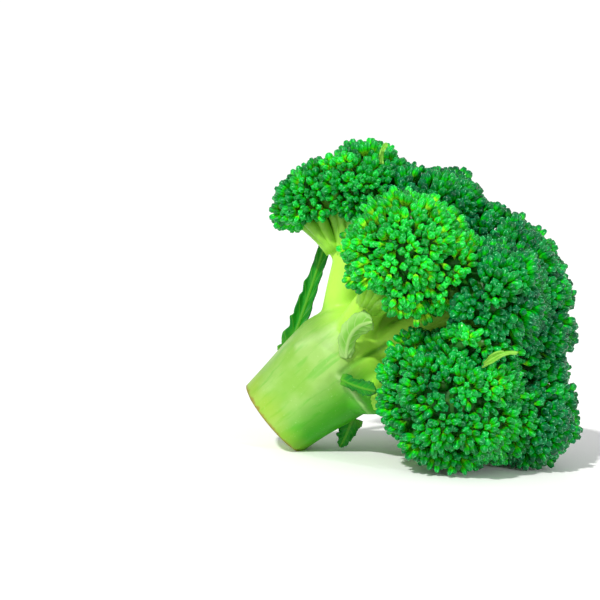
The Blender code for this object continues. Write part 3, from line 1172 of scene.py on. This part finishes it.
@dataclass
class Leaves:
    """The few small leaves that were left on the head.

    left_edge sets a leaf's left edge apart from its right: how far off its noise is read, and its stagger.
    """

    plant: Plant
    finishes: dict[LeafColour, bpy.types.Material]
    thickness: float = 0.45 * MM
    cells_across: int = 18
    cells_along: int = 64
    rounds_from: float = 0.86
    rounding: float = 0.75
    edge_waves: float = 6.0
    edge_drift: float = 0.25
    left_edge: Span = (40.0, 0.35)
    tooth_drift: float = 0.6
    tooth_peak: float = 0.72
    mean_bite: float = 0.75
    rib_lift: float = 0.30 * MM
    rib_width: float = 0.13
    vein_lift: float = 0.14 * MM
    vein_rise: float = 3.0
    ruffle: float = 0.55 * MM
    ruffle_waves: Span = (9.0, 2.2)
    shapes: tuple[LeafShape, ...] = (
        LeafShape("leaf_long", ((-12.6, 4.0, 15.4), (-22.2, 7.6, 31.6), (-33.0, 8.8, 48.0)), (7.0, 3.6, 4.6),
                  (0.0, -1.0, 0.0), math.radians(60), 7, 0.34),
        LeafShape("leaf_curled", ((-0.2, -17.0, 31.5), (-8.0, -22.5, 38.5), (-3.5, -24.5, 45.0)),
                  (3.4, 11.0, 6.4), (0.3, -1.0, 0.0), math.radians(-120), 5, 0.22, LeafColour.PALE),
        LeafShape("leaf_flat", ((3.6, -17.5, 26.5), (9.0, -22.0, 29.5), (12.5, -23.0, 33.0)), (3.6, 6.4, 3.4),
                  (0.3, -1.0, -0.2), math.radians(-40), 6, 0.40),
        LeafShape("leaf_under", ((15.4, 1.4, 19.0), (18.6, 1.2, 13.4), (19.8, 1.0, 10.1)), (7.4, 5.6, 1.4),
                  (0.0, -1.0, 0.0), math.radians(40), 4, 0.35),
        LeafShape("bract_front", ((25.6, -35.4, 62.6), (24.8, -40.6, 68.2), (28.4, -37.0, 71.6)),
                  (2.4, 3.2, 0.5), (-0.5, -1.0, 0.4), math.radians(150), 1, 0.02,
                  LeafColour.YOUNG, "lobe_front_lower"),
        LeafShape("stub_rim", ((-38.5, -4.5, 75.5), (-41.4, -6.2, 77.6), (-41.8, -5.8, 80.6)),
                  (1.8, 0.9, 1.9), (0.0, -1.0, 0.0), math.radians(170), 2, 0.02,
                  LeafColour.YOUNG, "lobe_rim_top"),
    )

    def edge(self, shape: LeafShape, along: float, left: bool) -> float:
        """How far the toothed edge of a leaf reaches.

        Args:
            shape: the leaf.
            along: the place along it, from 0 at its base to 1 at its tip.
            left: whether it is the left edge.

        Returns:
            The reach as a share of the half width.
        """
        far, stagger = self.left_edge if left else (0.0, 0.0)
        drift = noise.noise(Vector((self.edge_waves * along, far, shape.midrib_mm[0][0])))
        phase = (along * shape.teeth + self.tooth_drift * drift + stagger) % 1.0
        falling = (1 - phase) / (1 - self.tooth_peak)
        tooth = phase / self.tooth_peak if phase < self.tooth_peak else falling
        return 1 + shape.bite * (tooth - 0.5) * (self.mean_bite + drift) + self.edge_drift * drift

    def half_width(self, shape: LeafShape, across: float, along: float) -> float:
        """How far a leaf reaches from its midrib.

        Args:
            shape: the leaf.
            across: the place across it, from -1 to 1.
            along: the place along it, from 0 to 1.

        Returns:
            Half the leaf's width, in metres, with its teeth towards its edges.
        """
        start, middle, end = (width * MM for width in shape.widths_mm)
        width = (1 - along) ** 2 * start + 2 * along * (1 - along) * middle + along**2 * end
        width *= 1 - self.rounding * max(0.0, (along - self.rounds_from) / (1 - self.rounds_from)) ** 2
        return width / 2 * (1 + (self.edge(shape, along, across < 0) - 1) * abs(across) ** 3)

    def relief(self, shape: LeafShape, across: float, along: float) -> float:
        """How far the midrib, the veins and the ruffled edges stand out of a leaf's sheet.

        Args:
            shape: the leaf.
            across: the place across it, from -1 to 1.
            along: the place along it, from 0 to 1.

        Returns:
            The height in metres.
        """
        veins = math.cos(2 * math.pi * (shape.teeth * along - VEIN_SLANT * abs(across)))
        lift = self.rib_lift * math.exp(-((across / self.rib_width) ** 2))
        lift += self.vein_lift * veins**5 * min(1.0, abs(across) * self.vein_rise)
        waves_along, waves_across = self.ruffle_waves
        return lift + self.ruffle * across**2 * math.sin(waves_along * along + waves_across * across)

    def blade(self, shape: LeafShape) -> bpy.types.Mesh:
        """A leaf's blade as a sheet, bent along its midrib and curled, with veins and toothed edges.

        Args:
            shape: the leaf.

        Returns:
            The sheet, with the place across and along the leaf on its vertices.
        """
        base, middle, tip = (Vector(point) * MM for point in shape.midrib_mm)
        facing = Vector(shape.facing).normalized()
        bm = bmesh.new()
        across_layer = bm.verts.layers.float.new("across")
        along_layer = bm.verts.layers.float.new("along")
        bmesh.ops.create_grid(bm, x_segments=self.cells_across, y_segments=self.cells_along, size=1.0)
        for vert in bm.verts:
            across, along = vert.co.x, (vert.co.y + 1) / 2
            vert[across_layer] = across
            vert[along_layer] = along
            early, late = base.lerp(middle, along), middle.lerp(tip, along)
            side = (late - early).cross(facing).normalized()
            outward = side.cross(late - early).normalized()
            reach = across * self.half_width(shape, across, along)
            bend = across * shape.curl / 2
            flat_share, rise_share = 1.0, 0.0
            if abs(bend) > 1e-6:
                flat_share, rise_share = math.sin(bend) / bend, (1 - math.cos(bend)) / bend
            out = reach * rise_share + self.relief(shape, across, along)
            vert.co = early.lerp(late, along) + side * reach * flat_share + outward * out
        return as_mesh(bm, shape.name.replace("leaf", "blade"))

    def build(self) -> None:
        """Builds every leaf as a thin closed sheet."""
        for shape in self.shapes:
            node = shape.stands_for or shape.name
            finish = self.finishes[shape.colour]
            piece = finished(self.blade(shape), self.plant, finish, node)
            sheet = piece.modifiers.new("Thickness", "SOLIDIFY")
            sheet.thickness = self.thickness
            sheet.offset = 0.0


@dataclass(frozen=True)
class Surface:
    """How a skin shines: its least roughness and what its grain adds, its specular level, and its bump."""

    least_roughness: float
    grain_roughness: float
    specular: float
    bump_strength: float
    bump_depth: float


class Shader:
    """Adds the nodes of one material or world, and links them."""

    def __init__(self, owner: bpy.types.Material | bpy.types.World) -> None:
        """Takes over the nodes of a material or a world.

        Args:
            owner: the material or the world.
        """
        owner.use_nodes = True
        self.owner = owner
        self.tree = owner.node_tree

    def link(self, value: "Wire | float | tuple", socket: bpy.types.NodeSocket) -> None:
        """Links a wire to a socket, or sets a plain value on it.

        Args:
            value: the wire or the value.
            socket: the input socket.
        """
        if isinstance(value, Wire):
            self.tree.links.new(value.socket, socket)
        else:
            socket.default_value = value

    def node(
        self, kind: str, settings: dict | None = None, inputs: dict | None = None, output: int | str = 0
    ) -> "Wire":
        """Adds a node.

        Args:
            kind: the node's type.
            settings: its properties, set before its sockets.
            inputs: values or wires, by the name or number of the socket.
            output: the name or number of the output.

        Returns:
            The output as a wire.
        """
        made = self.tree.nodes.new(kind)
        for name, value in (settings or {}).items():
            setattr(made, name, value)
        for name, value in (inputs or {}).items():
            self.link(value, made.inputs[name])
        return Wire(self, made.outputs[output])

    def number(self, name: str) -> "Wire":
        """A number that the mesh carries on its vertices."""
        return self.node("ShaderNodeAttribute", {"attribute_name": name}, output="Fac")

    def place(self) -> "Wire":
        """The place in the object, in metres."""
        return self.node("ShaderNodeTexCoord", output="Object")

    def part(self, vector: "Wire", axis: str) -> "Wire":
        """A vector's X, Y or Z."""
        return self.node("ShaderNodeSeparateXYZ", inputs={0: vector}, output=axis)

    def noise(self, scale: float, detail: float = 2.0, place: "Wire | None" = None) -> "Wire":
        """A noise from 0 to 1.

        Args:
            scale: about how many waves there are to the metre.
            detail: how many finer waves are added.
            place: where it is read, which is the place in the object if nothing is given.

        Returns:
            The noise.
        """
        inputs = {"Vector": place or self.place(), "Scale": scale, "Detail": detail}
        return self.node("ShaderNodeTexNoise", inputs=inputs, output="Fac")

    def between(self, value: "Wire", span: Span) -> "Wire":
        """A smooth step over a span.

        Args:
            value: the value.
            span: where the step starts and where it is full, which may be below its start.

        Returns:
            0 before the span, 1 beyond it.
        """
        inputs = {"Value": value, "From Min": span[0], "From Max": span[1]}
        return self.node("ShaderNodeMapRange", {"interpolation_type": "SMOOTHSTEP"}, inputs)

    def mix(self, share: "Wire | float", first: "Wire | Colour", second: "Wire | Colour") -> "Wire":
        """A mix of two colours.

        Args:
            share: how much of the second colour.
            first: the first colour.
            second: the second colour.

        Returns:
            The mixed colour.
        """
        first, second = (colour if isinstance(colour, Wire) else (*colour, 1.0) for colour in (first, second))
        settings = {"data_type": "RGBA", "blend_type": "MIX", "clamp_factor": True}
        return self.node("ShaderNodeMix", settings, {0: share, 6: first, 7: second}, output=2)

    def coats(self, base: "Wire | Colour", *coats: "tuple[Wire | float, Wire | Colour]") -> "Wire":
        """Lays colours over a base, one after another.

        Args:
            base: the colour underneath.
            coats: how much shows of each colour, and the colour.

        Returns:
            The colour on top.
        """
        for share, colour in coats:
            base = self.mix(share, base, colour)
        return base

    def bump(self, height: "Wire", strength: float, distance: float) -> "Wire":
        """A normal that follows a height."""
        inputs = {"Height": height, "Strength": strength, "Distance": distance}
        return self.node("ShaderNodeBump", inputs=inputs)

    def finish(self, **sockets: "Wire | float | tuple") -> bpy.types.Material:
        """Feeds the Principled shader.

        Args:
            sockets: values or wires, by the name of the socket with underscores for its spaces.

        Returns:
            The material.
        """
        principled = self.tree.nodes["Principled BSDF"]
        for name, value in sockets.items():
            self.link(value, principled.inputs[name.replace("_", " ")])
        return self.owner

    def skin(self, colour: "Wire", grain: "Wire", relief: "Wire", surface: Surface) -> bpy.types.Material:
        """Finishes the material as a plant's skin.

        Args:
            colour: its colour.
            grain: the noise that makes it rougher.
            relief: the height that its bump follows.
            surface: how it shines.

        Returns:
            The material.
        """
        return self.finish(
            Base_Color=colour, Roughness=surface.least_roughness + grain * surface.grain_roughness,
            Specular_IOR_Level=surface.specular,
            Normal=self.bump(relief, surface.bump_strength, surface.bump_depth),
        )


class Wire:
    """An output socket, with arithmetic that adds Math nodes."""

    def __init__(self, shader: Shader, socket: bpy.types.NodeSocket) -> None:
        """Wraps a socket of a shader's tree."""
        self.shader = shader
        self.socket = socket

    def math(self, operation: str, first: "Wire | float", second: "Wire | float") -> "Wire":
        """A Math node on two values."""
        return self.shader.node("ShaderNodeMath", {"operation": operation}, {0: first, 1: second})

    def __add__(self, other: "Wire | float") -> "Wire":
        """Their sum."""
        return self.math("ADD", self, other)

    __radd__ = __add__

    def __mul__(self, other: "Wire | float") -> "Wire":
        """Their product."""
        return self.math("MULTIPLY", self, other)

    __rmul__ = __mul__

    def __sub__(self, other: "Wire | float") -> "Wire":
        """Their difference."""
        return self.math("SUBTRACT", self, other)

    def __rsub__(self, other: "Wire | float") -> "Wire":
        """Their difference, the other way round."""
        return self.math("SUBTRACT", other, self)


@dataclass(frozen=True)
class BudFinish:
    """The waxy skin of the buds, from dark bluish tips to yellow-green feet, with painted shade in the seams
    between the sepals and painted glints on a pale waxy coat along their ridges near the tips.

    Each span says where a colour or its patches start and are full, and each share how much of it shows.
    """

    dark_body: Colour = (0.001, 0.420, 0.008)
    bright_body: Colour = (0.022, 0.740, 0.006)
    dark_tip: Colour = (0.001, 0.118, 0.038)
    bright_tip: Colour = (0.004, 0.440, 0.055)
    dark_foot: Colour = (0.030, 0.540, 0.006)
    bright_foot: Colour = (0.400, 0.820, 0.028)
    # Painted shade: the dark in the seams between the sepals near the tips.
    seam_shade: Colour = (0.001, 0.070, 0.012)
    # Painted glints on the sepals' ridges near the tips, in the pale teal of the waxy bloom.
    bloom_and_glint: Colour = (0.240, 0.800, 0.400)
    body_span: Span = (0.02, 0.40)
    body_shift: float = 0.22
    tip_span: Span = (0.54, 0.86)
    tip_thinning: float = 0.25
    # Where the painted shade in the seams starts and is full, and how much of it shows.
    seam_shade_span: Span = (0.25, 1.0)
    seam_shade_share: float = 0.62
    # Where the waxy bloom and painted glints lie: their patches, the sepals' ridges and the height on the
    # bud.
    bloom_and_glint_waves: float = 1300.0
    bloom_and_glint_patches: Span = (0.42, 0.58)
    bloom_and_glint_ridges: Span = (-0.45, -1.0)
    bloom_and_glint_span: Span = (0.66, 0.96)
    bloom_and_glint_share: float = 0.85
    lightness: Span = (0.52, 0.86)
    grain_waves: float = 5200.0
    surface: Surface = Surface(0.07, 0.14, 0.16, 0.30, 0.06 * MM)

    def material(self) -> bpy.types.Material:
        """The finish as a material, on the numbers that each bud carries.

        Returns:
            The material.
        """
        shader = Shader(bpy.data.materials.new("bud"))
        tip, tone, seam_shade = shader.number("tip"), shader.number("tone"), shader.number("seam_shade")
        body = shader.mix(tone, self.dark_body, self.bright_body)
        top = shader.mix(tone, self.dark_tip, self.bright_tip)
        foot = shader.mix(tone, self.dark_foot, self.bright_foot)
        # Waxy bloom with painted glints, in patches on the ridges near the tips.
        patches = shader.between(shader.noise(self.bloom_and_glint_waves), self.bloom_and_glint_patches)
        bloom_and_glint_mask = patches * shader.between(seam_shade, self.bloom_and_glint_ridges) * shader.between(tip, self.bloom_and_glint_span)
        colour = shader.coats(
            foot,
            (shader.between(tip - tone * self.body_shift, self.body_span), body),
            (shader.between(tip, self.tip_span) * (1 - tone * self.tip_thinning), top),
            # painted shade in the seams between the sepals
            (shader.between(seam_shade, self.seam_shade_span) * self.seam_shade_share, self.seam_shade),
            # waxy bloom with painted glints on the ridges
            (bloom_and_glint_mask * self.bloom_and_glint_share, self.bloom_and_glint),
        )
        darkest, lighter = self.lightness
        scale = {0: colour, "Scale": darkest + shader.number("shade") * lighter}
        colour = shader.node("ShaderNodeVectorMath", {"operation": "SCALE"}, scale)
        grain = shader.noise(self.grain_waves)
        return shader.skin(colour, grain, grain, self.surface)


@dataclass(frozen=True)
class StalkFinish:
    """The smooth pale skin of the stalk, with fine streaks along it and a trimmed cut at its foot. Painted
    shade darkens its underside and its creases, and painted light lifts its shaded branches.

    Each span says where a colour or its patches start and are full, and each share how much of it shows. The
    spans in metres are heights on the plant, distances from its axis, or distances towards the table's side.
    scar_share and bundle_share are the least share and what the noise adds.
    """

    skin: Colour = (0.196, 0.408, 0.054)
    light: Colour = (0.264, 0.458, 0.106)
    # Both the deep green of the stalk's streaks and painted shade on the stem's underside, towards the table.
    deep: Colour = (0.040, 0.350, 0.001)
    # The branches' paler green, brightened as painted light to lift the shaded fork where they leave the
    # stem.
    branch: Colour = (0.450, 0.850, 0.066)
    yellow: Colour = (0.310, 0.450, 0.035)
    scar: Colour = (0.450, 0.640, 0.270)
    # Painted shade: a darker green in the creases where the branches part.
    crease: Colour = (0.035, 0.230, 0.010)
    pith: Colour = (0.560, 0.700, 0.340)
    ring: Colour = (0.300, 0.520, 0.120)
    brown: Colour = (0.230, 0.130, 0.030)
    streak_waves: float = 520.0
    streak_stretch: float = 0.12
    patch_waves: float = 75.0
    fine_waves: float = 1500.0
    light_patches: Span = (0.40, 0.62)
    stem_span: Span = (44 * MM, 26 * MM)
    # Where the painted shade on the underside starts and is full, towards the table, and how far it wanders.
    under_shade_span: Span = (3 * MM, 17 * MM)
    under_shade_wander: float = 8 * MM
    deep_streaks: Span = (0.50, 0.68)
    streak_share: float = 0.40
    # The heights over which the painted light on the branches comes in, and how much of it shows.
    branch_light_span: Span = (28 * MM, 40 * MM)
    branch_light_share: float = 0.75
    yellow_span: Span = (9 * MM, 1 * MM)
    yellow_wander: float = 12 * MM
    yellow_share: float = 0.45
    crease_shade_share: float = 0.75
    specks: Span = (0.68, 0.78)
    speck_share: float = 0.22
    rim_span: Span = (1.1 * MM, 0.2 * MM)
    rim_wander: float = 2.4 * MM
    rim_share: float = 0.75
    bundle_spans: tuple[Span, Span] = ((8.6 * MM, 10.2 * MM), (12.2 * MM, 11.0 * MM))
    brown_patches: Span = (0.55, 0.75)
    brown_share: float = 0.30
    cut_spans: tuple[Span, Span] = ((0.42 * MM, 0.38 * MM), (12.9 * MM, 12.5 * MM))
    scar_share: Span = (0.30, 0.55)
    bundle_share: Span = (0.45, 0.5)
    surface: Surface = Surface(0.30, 0.16, 0.16, 0.35, 0.3 * MM)

    def cut(self, shader: Shader, grown: "Wire", out: "Wire", patches: "Wire") -> "Wire":
        """The colour of the cut face, a pale pith with a ring of bundles under the skin.

        Args:
            shader: the material's shader.
            grown: the place in the plant's own frame.
            out: the distance from the plant's axis.
            patches: the noise of the skin's patches.

        Returns:
            The colour.
        """
        fibres = shader.noise(self.fine_waves, 2.0, grown)
        inner, outer = self.bundle_spans
        bundles = shader.between(out, inner) * shader.between(out, outer)
        return shader.coats(
            shader.mix(fibres, self.pith, self.ring),
            (bundles * (self.bundle_share[0] + fibres * self.bundle_share[1]), self.ring),
            (shader.between(patches, self.brown_patches) * self.brown_share, self.brown),
        )

    def material(self, plant: Plant) -> bpy.types.Material:
        """The finish as a material, with its streaks along the plant's own axis.

        Args:
            plant: how the plant lies.

        Returns:
            The material.
        """
        shader = Shader(bpy.data.materials.new("stalk"))
        laid = {"Vector": shader.place(), "Location": plant.cut_middle, "Rotation": plant.lay.to_euler()}
        grown = shader.node("ShaderNodeMapping", {"vector_type": "TEXTURE"}, laid)
        along = {"Vector": grown, "Scale": (1.0, 1.0, self.streak_stretch)}
        stretched = shader.node("ShaderNodeMapping", {"vector_type": "POINT"}, along)
        streaks = shader.noise(self.streak_waves, 4.0, stretched)
        patches = shader.noise(self.patch_waves, 3.0, grown)
        specks = shader.between(shader.noise(self.fine_waves, 1.0, grown), self.specks)
        downward, height = shader.part(grown, "X"), shader.part(grown, "Z")
        flat = shader.node("ShaderNodeVectorMath", {"operation": "MULTIPLY"}, {0: grown, 1: (1.0, 1.0, 0.0)})
        out = shader.node("ShaderNodeVectorMath", {"operation": "LENGTH"}, {0: flat}, output="Value")
        # Painted shade on the stem's underside, towards the table.
        under = shader.between(downward + patches * self.under_shade_wander, self.under_shade_span)
        near_cut = shader.between(height + (patches - 0.5) * self.yellow_wander, self.yellow_span)
        rim = shader.between(height + (streaks - 0.5) * self.rim_wander, self.rim_span)
        cut_height, cut_radius = self.cut_spans
        colour = shader.coats(
            shader.mix(shader.between(patches, self.light_patches), self.skin, self.light),
            # painted shade on the stem's underside
            (under * shader.between(height, self.stem_span), self.deep),
            (shader.between(streaks, self.deep_streaks) * self.streak_share, self.deep),
            # painted light on the branches
            (shader.between(height, self.branch_light_span) * self.branch_light_share, self.branch),
            (near_cut * self.yellow_share, self.yellow),
            (shader.number("pale") * (self.scar_share[0] + patches * self.scar_share[1]), self.scar),
            # painted shade in the creases
            (shader.number("crease") * self.crease_shade_share, self.crease),
            (specks * self.speck_share, self.scar),
            (rim * self.rim_share, self.brown),
            (shader.between(height, cut_height) * shader.between(out, cut_radius),
             self.cut(shader, grown, out, patches)),
        )
        return shader.skin(colour, streaks, streaks, self.surface)


@dataclass(frozen=True)
class StalkletFinish:
    """The skin of the stalklets and cores: pale at their feet, deeper green with painted shade towards the
    buds.
    """

    # The feet's pale yellow-green, lightened as painted light where they meet the shaded fork.
    low: Colour = (0.330, 0.740, 0.050)
    # A deep green darkened with painted shade, for the gaps among the buds where the stalklets end and the
    # cores lie.
    high: Colour = (0.003, 0.120, 0.004)
    blotch_waves: float = 300.0
    blotch_share: float = 0.5
    surface: Surface = Surface(0.34, 0.2, 0.3, 0.2, 0.2 * MM)

    def material(self) -> bpy.types.Material:
        """The finish as a material.

        Returns:
            The material.
        """
        shader = Shader(bpy.data.materials.new("stalklet"))
        blotches = shader.noise(self.blotch_waves)
        # From the pale feet to the deep green and painted shade under the buds.
        share = shader.number("rise") + (blotches - 0.5) * self.blotch_share
        return shader.skin(shader.mix(share, self.low, self.high), blotches, blotches, self.surface)


@dataclass(frozen=True)
class LeafFinish:
    """A leaf's skin with a paler midrib and veins.

    Each span says where a colour starts and is full, across or along the leaf, and each share how much shows.
    """

    name: str
    blade: Colour
    edge: Colour
    rib: Colour
    teeth: int
    blotch_waves: float = 240.0
    vein_wander: float = 0.12
    vein_span: Span = (0.86, 1.0)
    vein_start: Span = (0.05, 0.2)
    vein_share: float = 0.45
    edge_span: Span = (0.25, 0.95)
    edge_wander: float = 0.9
    rib_span: Span = (0.17, 0.06)
    rib_share: float = 0.75
    base_span: Span = (0.22, 0.0)
    base_wander: float = 0.3
    base_share: float = 0.7
    vein_relief: float = 0.6
    surface: Surface = Surface(0.32, 0.16, 0.20, 0.35, 0.2 * MM)

    def material(self) -> bpy.types.Material:
        """The finish as a material, on the leaf's own across and along.

        Returns:
            The material.
        """
        shader = Shader(bpy.data.materials.new(self.name))
        across, along = shader.number("across"), shader.number("along")
        aside = across.math("ABSOLUTE", across, 0.0)
        blotches = shader.noise(self.blotch_waves, 3.0)
        drift = blotches - 0.5
        wave = (along * self.teeth - aside * VEIN_SLANT + drift * self.vein_wander) * (2 * math.pi)
        crest = shader.between(wave.math("COSINE", wave, 0.0), self.vein_span)
        veins = crest * shader.between(aside, self.vein_start)
        colour = shader.coats(
            self.blade,
            (shader.between(aside + drift * self.edge_wander, self.edge_span), self.edge),
            (veins * self.vein_share, self.rib),
            (shader.between(aside, self.rib_span) * self.rib_share, self.rib),
            (shader.between(along + drift * self.base_wander, self.base_span) * self.base_share, self.rib),
        )
        relief = veins * self.vein_relief + blotches * (1 - self.vein_relief)
        return shader.skin(colour, blotches, relief, self.surface)


class Lamp(NamedTuple):
    """A distant light: its name, the side it shines from, its watts to the square metre and its colour."""

    name: str
    place: tuple[float, float, float]
    power: float
    colour: Colour


@dataclass(frozen=True)
class Studio:
    """A pale floor, soft lights and the camera at the photograph's viewing angle."""

    plant: Plant
    lens: float = 85.0
    sensor: float = 36.0
    photo_pixels: int = 600
    nearest: float = 10 * MM
    metres_per_pixel: float = 0.31 * MM
    tilt: float = math.radians(8.0)
    roll: float = math.radians(3.0)
    cut_pixel: Span = (274.0, 418.0)
    frame_middle: Span = (300.0, 300.0)
    floor_reach: float = 40.0
    floor_colours: tuple[Colour, Colour] = ((0.97, 0.97, 0.97), (0.96, 0.96, 0.96))
    floor_waves: float = 3.0
    floor_roughness: float = 0.9
    horizon_light: float = 1.06
    sky_light: float = 0.55
    sky_span: Span = (0.14, 0.30)
    lamp_width: float = math.radians(3)
    lamp_aim: float = 45 * MM
    lamps: tuple[Lamp, ...] = (
        Lamp("key", (-0.40, -0.70, 0.75), 2.9, (1.0, 0.99, 0.96)),
        Lamp("fill", (0.70, -0.75, 0.30), 1.1, (0.96, 0.98, 1.0)),
    )

    def add_camera(self) -> None:
        """Adds the camera, which sees the middle of the cut at its pixel in the photograph."""
        focal_pixels = self.lens / self.sensor * self.photo_pixels
        ahead = Vector((0.0, math.cos(self.tilt), -math.sin(self.tilt)))
        level = Vector((1.0, 0.0, 0.0))
        right = math.cos(self.roll) * level + math.sin(self.roll) * level.cross(ahead)
        above = right.cross(ahead)
        eye = self.plant.cut_middle - ahead * focal_pixels * self.metres_per_pixel
        aim = ahead * focal_pixels
        aim += right * (self.frame_middle[0] - self.cut_pixel[0])
        aim -= above * (self.frame_middle[1] - self.cut_pixel[1])
        back = -aim.normalized()
        side = above.cross(back).normalized()
        data = bpy.data.cameras.new("camera")
        data.lens, data.sensor_width, data.clip_start = self.lens, self.sensor, self.nearest
        camera = linked("camera", data)
        turn = Matrix((side, back.cross(side), back)).transposed().to_4x4()
        camera.matrix_world = Matrix.Translation(eye) @ turn
        bpy.context.scene.camera = camera

    def add_light(self, lamp: Lamp) -> None:
        """Adds a distant light that shines on the head.

        Args:
            lamp: the light.
        """
        data = bpy.data.lights.new(lamp.name, "SUN")
        data.angle, data.energy, data.color = self.lamp_width, lamp.power, lamp.colour
        light = linked(lamp.name, data)
        light.location = lamp.place
        aim = Vector((0, 0, self.lamp_aim)) - Vector(lamp.place)
        light.rotation_euler = aim.to_track_quat("-Z", "Y").to_euler()

    def add_floor(self) -> None:
        """Adds the pale floor."""
        bm = bmesh.new()
        bmesh.ops.create_grid(bm, x_segments=4, y_segments=4, size=self.floor_reach)
        mesh = as_mesh(bm, "floor")
        shader = Shader(bpy.data.materials.new("floor"))
        colour = shader.mix(shader.noise(self.floor_waves), *self.floor_colours)
        mesh.shade_smooth()
        mesh.materials.append(shader.finish(Base_Color=colour, Roughness=self.floor_roughness))
        linked("floor", mesh)

    def add_sky(self) -> None:
        """Adds the sky, light at the horizon and darker above."""
        world = bpy.data.worlds.new("studio")
        sky = Shader(world)
        way = sky.node("ShaderNodeTexCoord", output="Generated")
        high = sky.between(sky.part(way, "Z"), self.sky_span)
        background = sky.tree.nodes["Background"]
        sky.link((1.0, 1.0, 1.0, 1.0), background.inputs["Color"])
        strength = high * (self.sky_light - self.horizon_light) + self.horizon_light
        sky.link(strength, background.inputs["Strength"])
        bpy.context.scene.world = world

    def build(self) -> None:
        """Sets up the studio."""
        bpy.context.scene.view_settings.view_transform = "Standard"
        self.add_sky()
        self.add_floor()
        for lamp in self.lamps:
            self.add_light(lamp)
        self.add_camera()


def main() -> None:
    """Builds the studio and the head."""
    logging.basicConfig(level=logging.INFO, format="%(message)s")
    noise.seed_set(NOISE_SEED)
    plant = Plant()
    Studio(plant).build()
    branching = Branching(plant)
    Stalk(plant, branching, StalkFinish().material(plant)).build()
    dark = LeafFinish("leaf dark", (0.008, 0.230, 0.004), (0.004, 0.170, 0.010), (0.090, 0.340, 0.014), 7)
    pale = LeafFinish("leaf pale", (0.150, 0.410, 0.040), (0.290, 0.540, 0.130), (0.360, 0.570, 0.180), 5)
    young = LeafFinish("leaf young", (0.130, 0.470, 0.020), (0.200, 0.500, 0.050), (0.280, 0.560, 0.080), 3)
    finishes = {LeafColour.DARK: dark, LeafColour.PALE: pale, LeafColour.YOUNG: young}
    Leaves(plant, {colour: finish.material() for colour, finish in finishes.items()}).build()
    Crown(plant, branching, BudFinish().material(), StalkletFinish().material()).build()


if __name__ == "__main__":
    main()
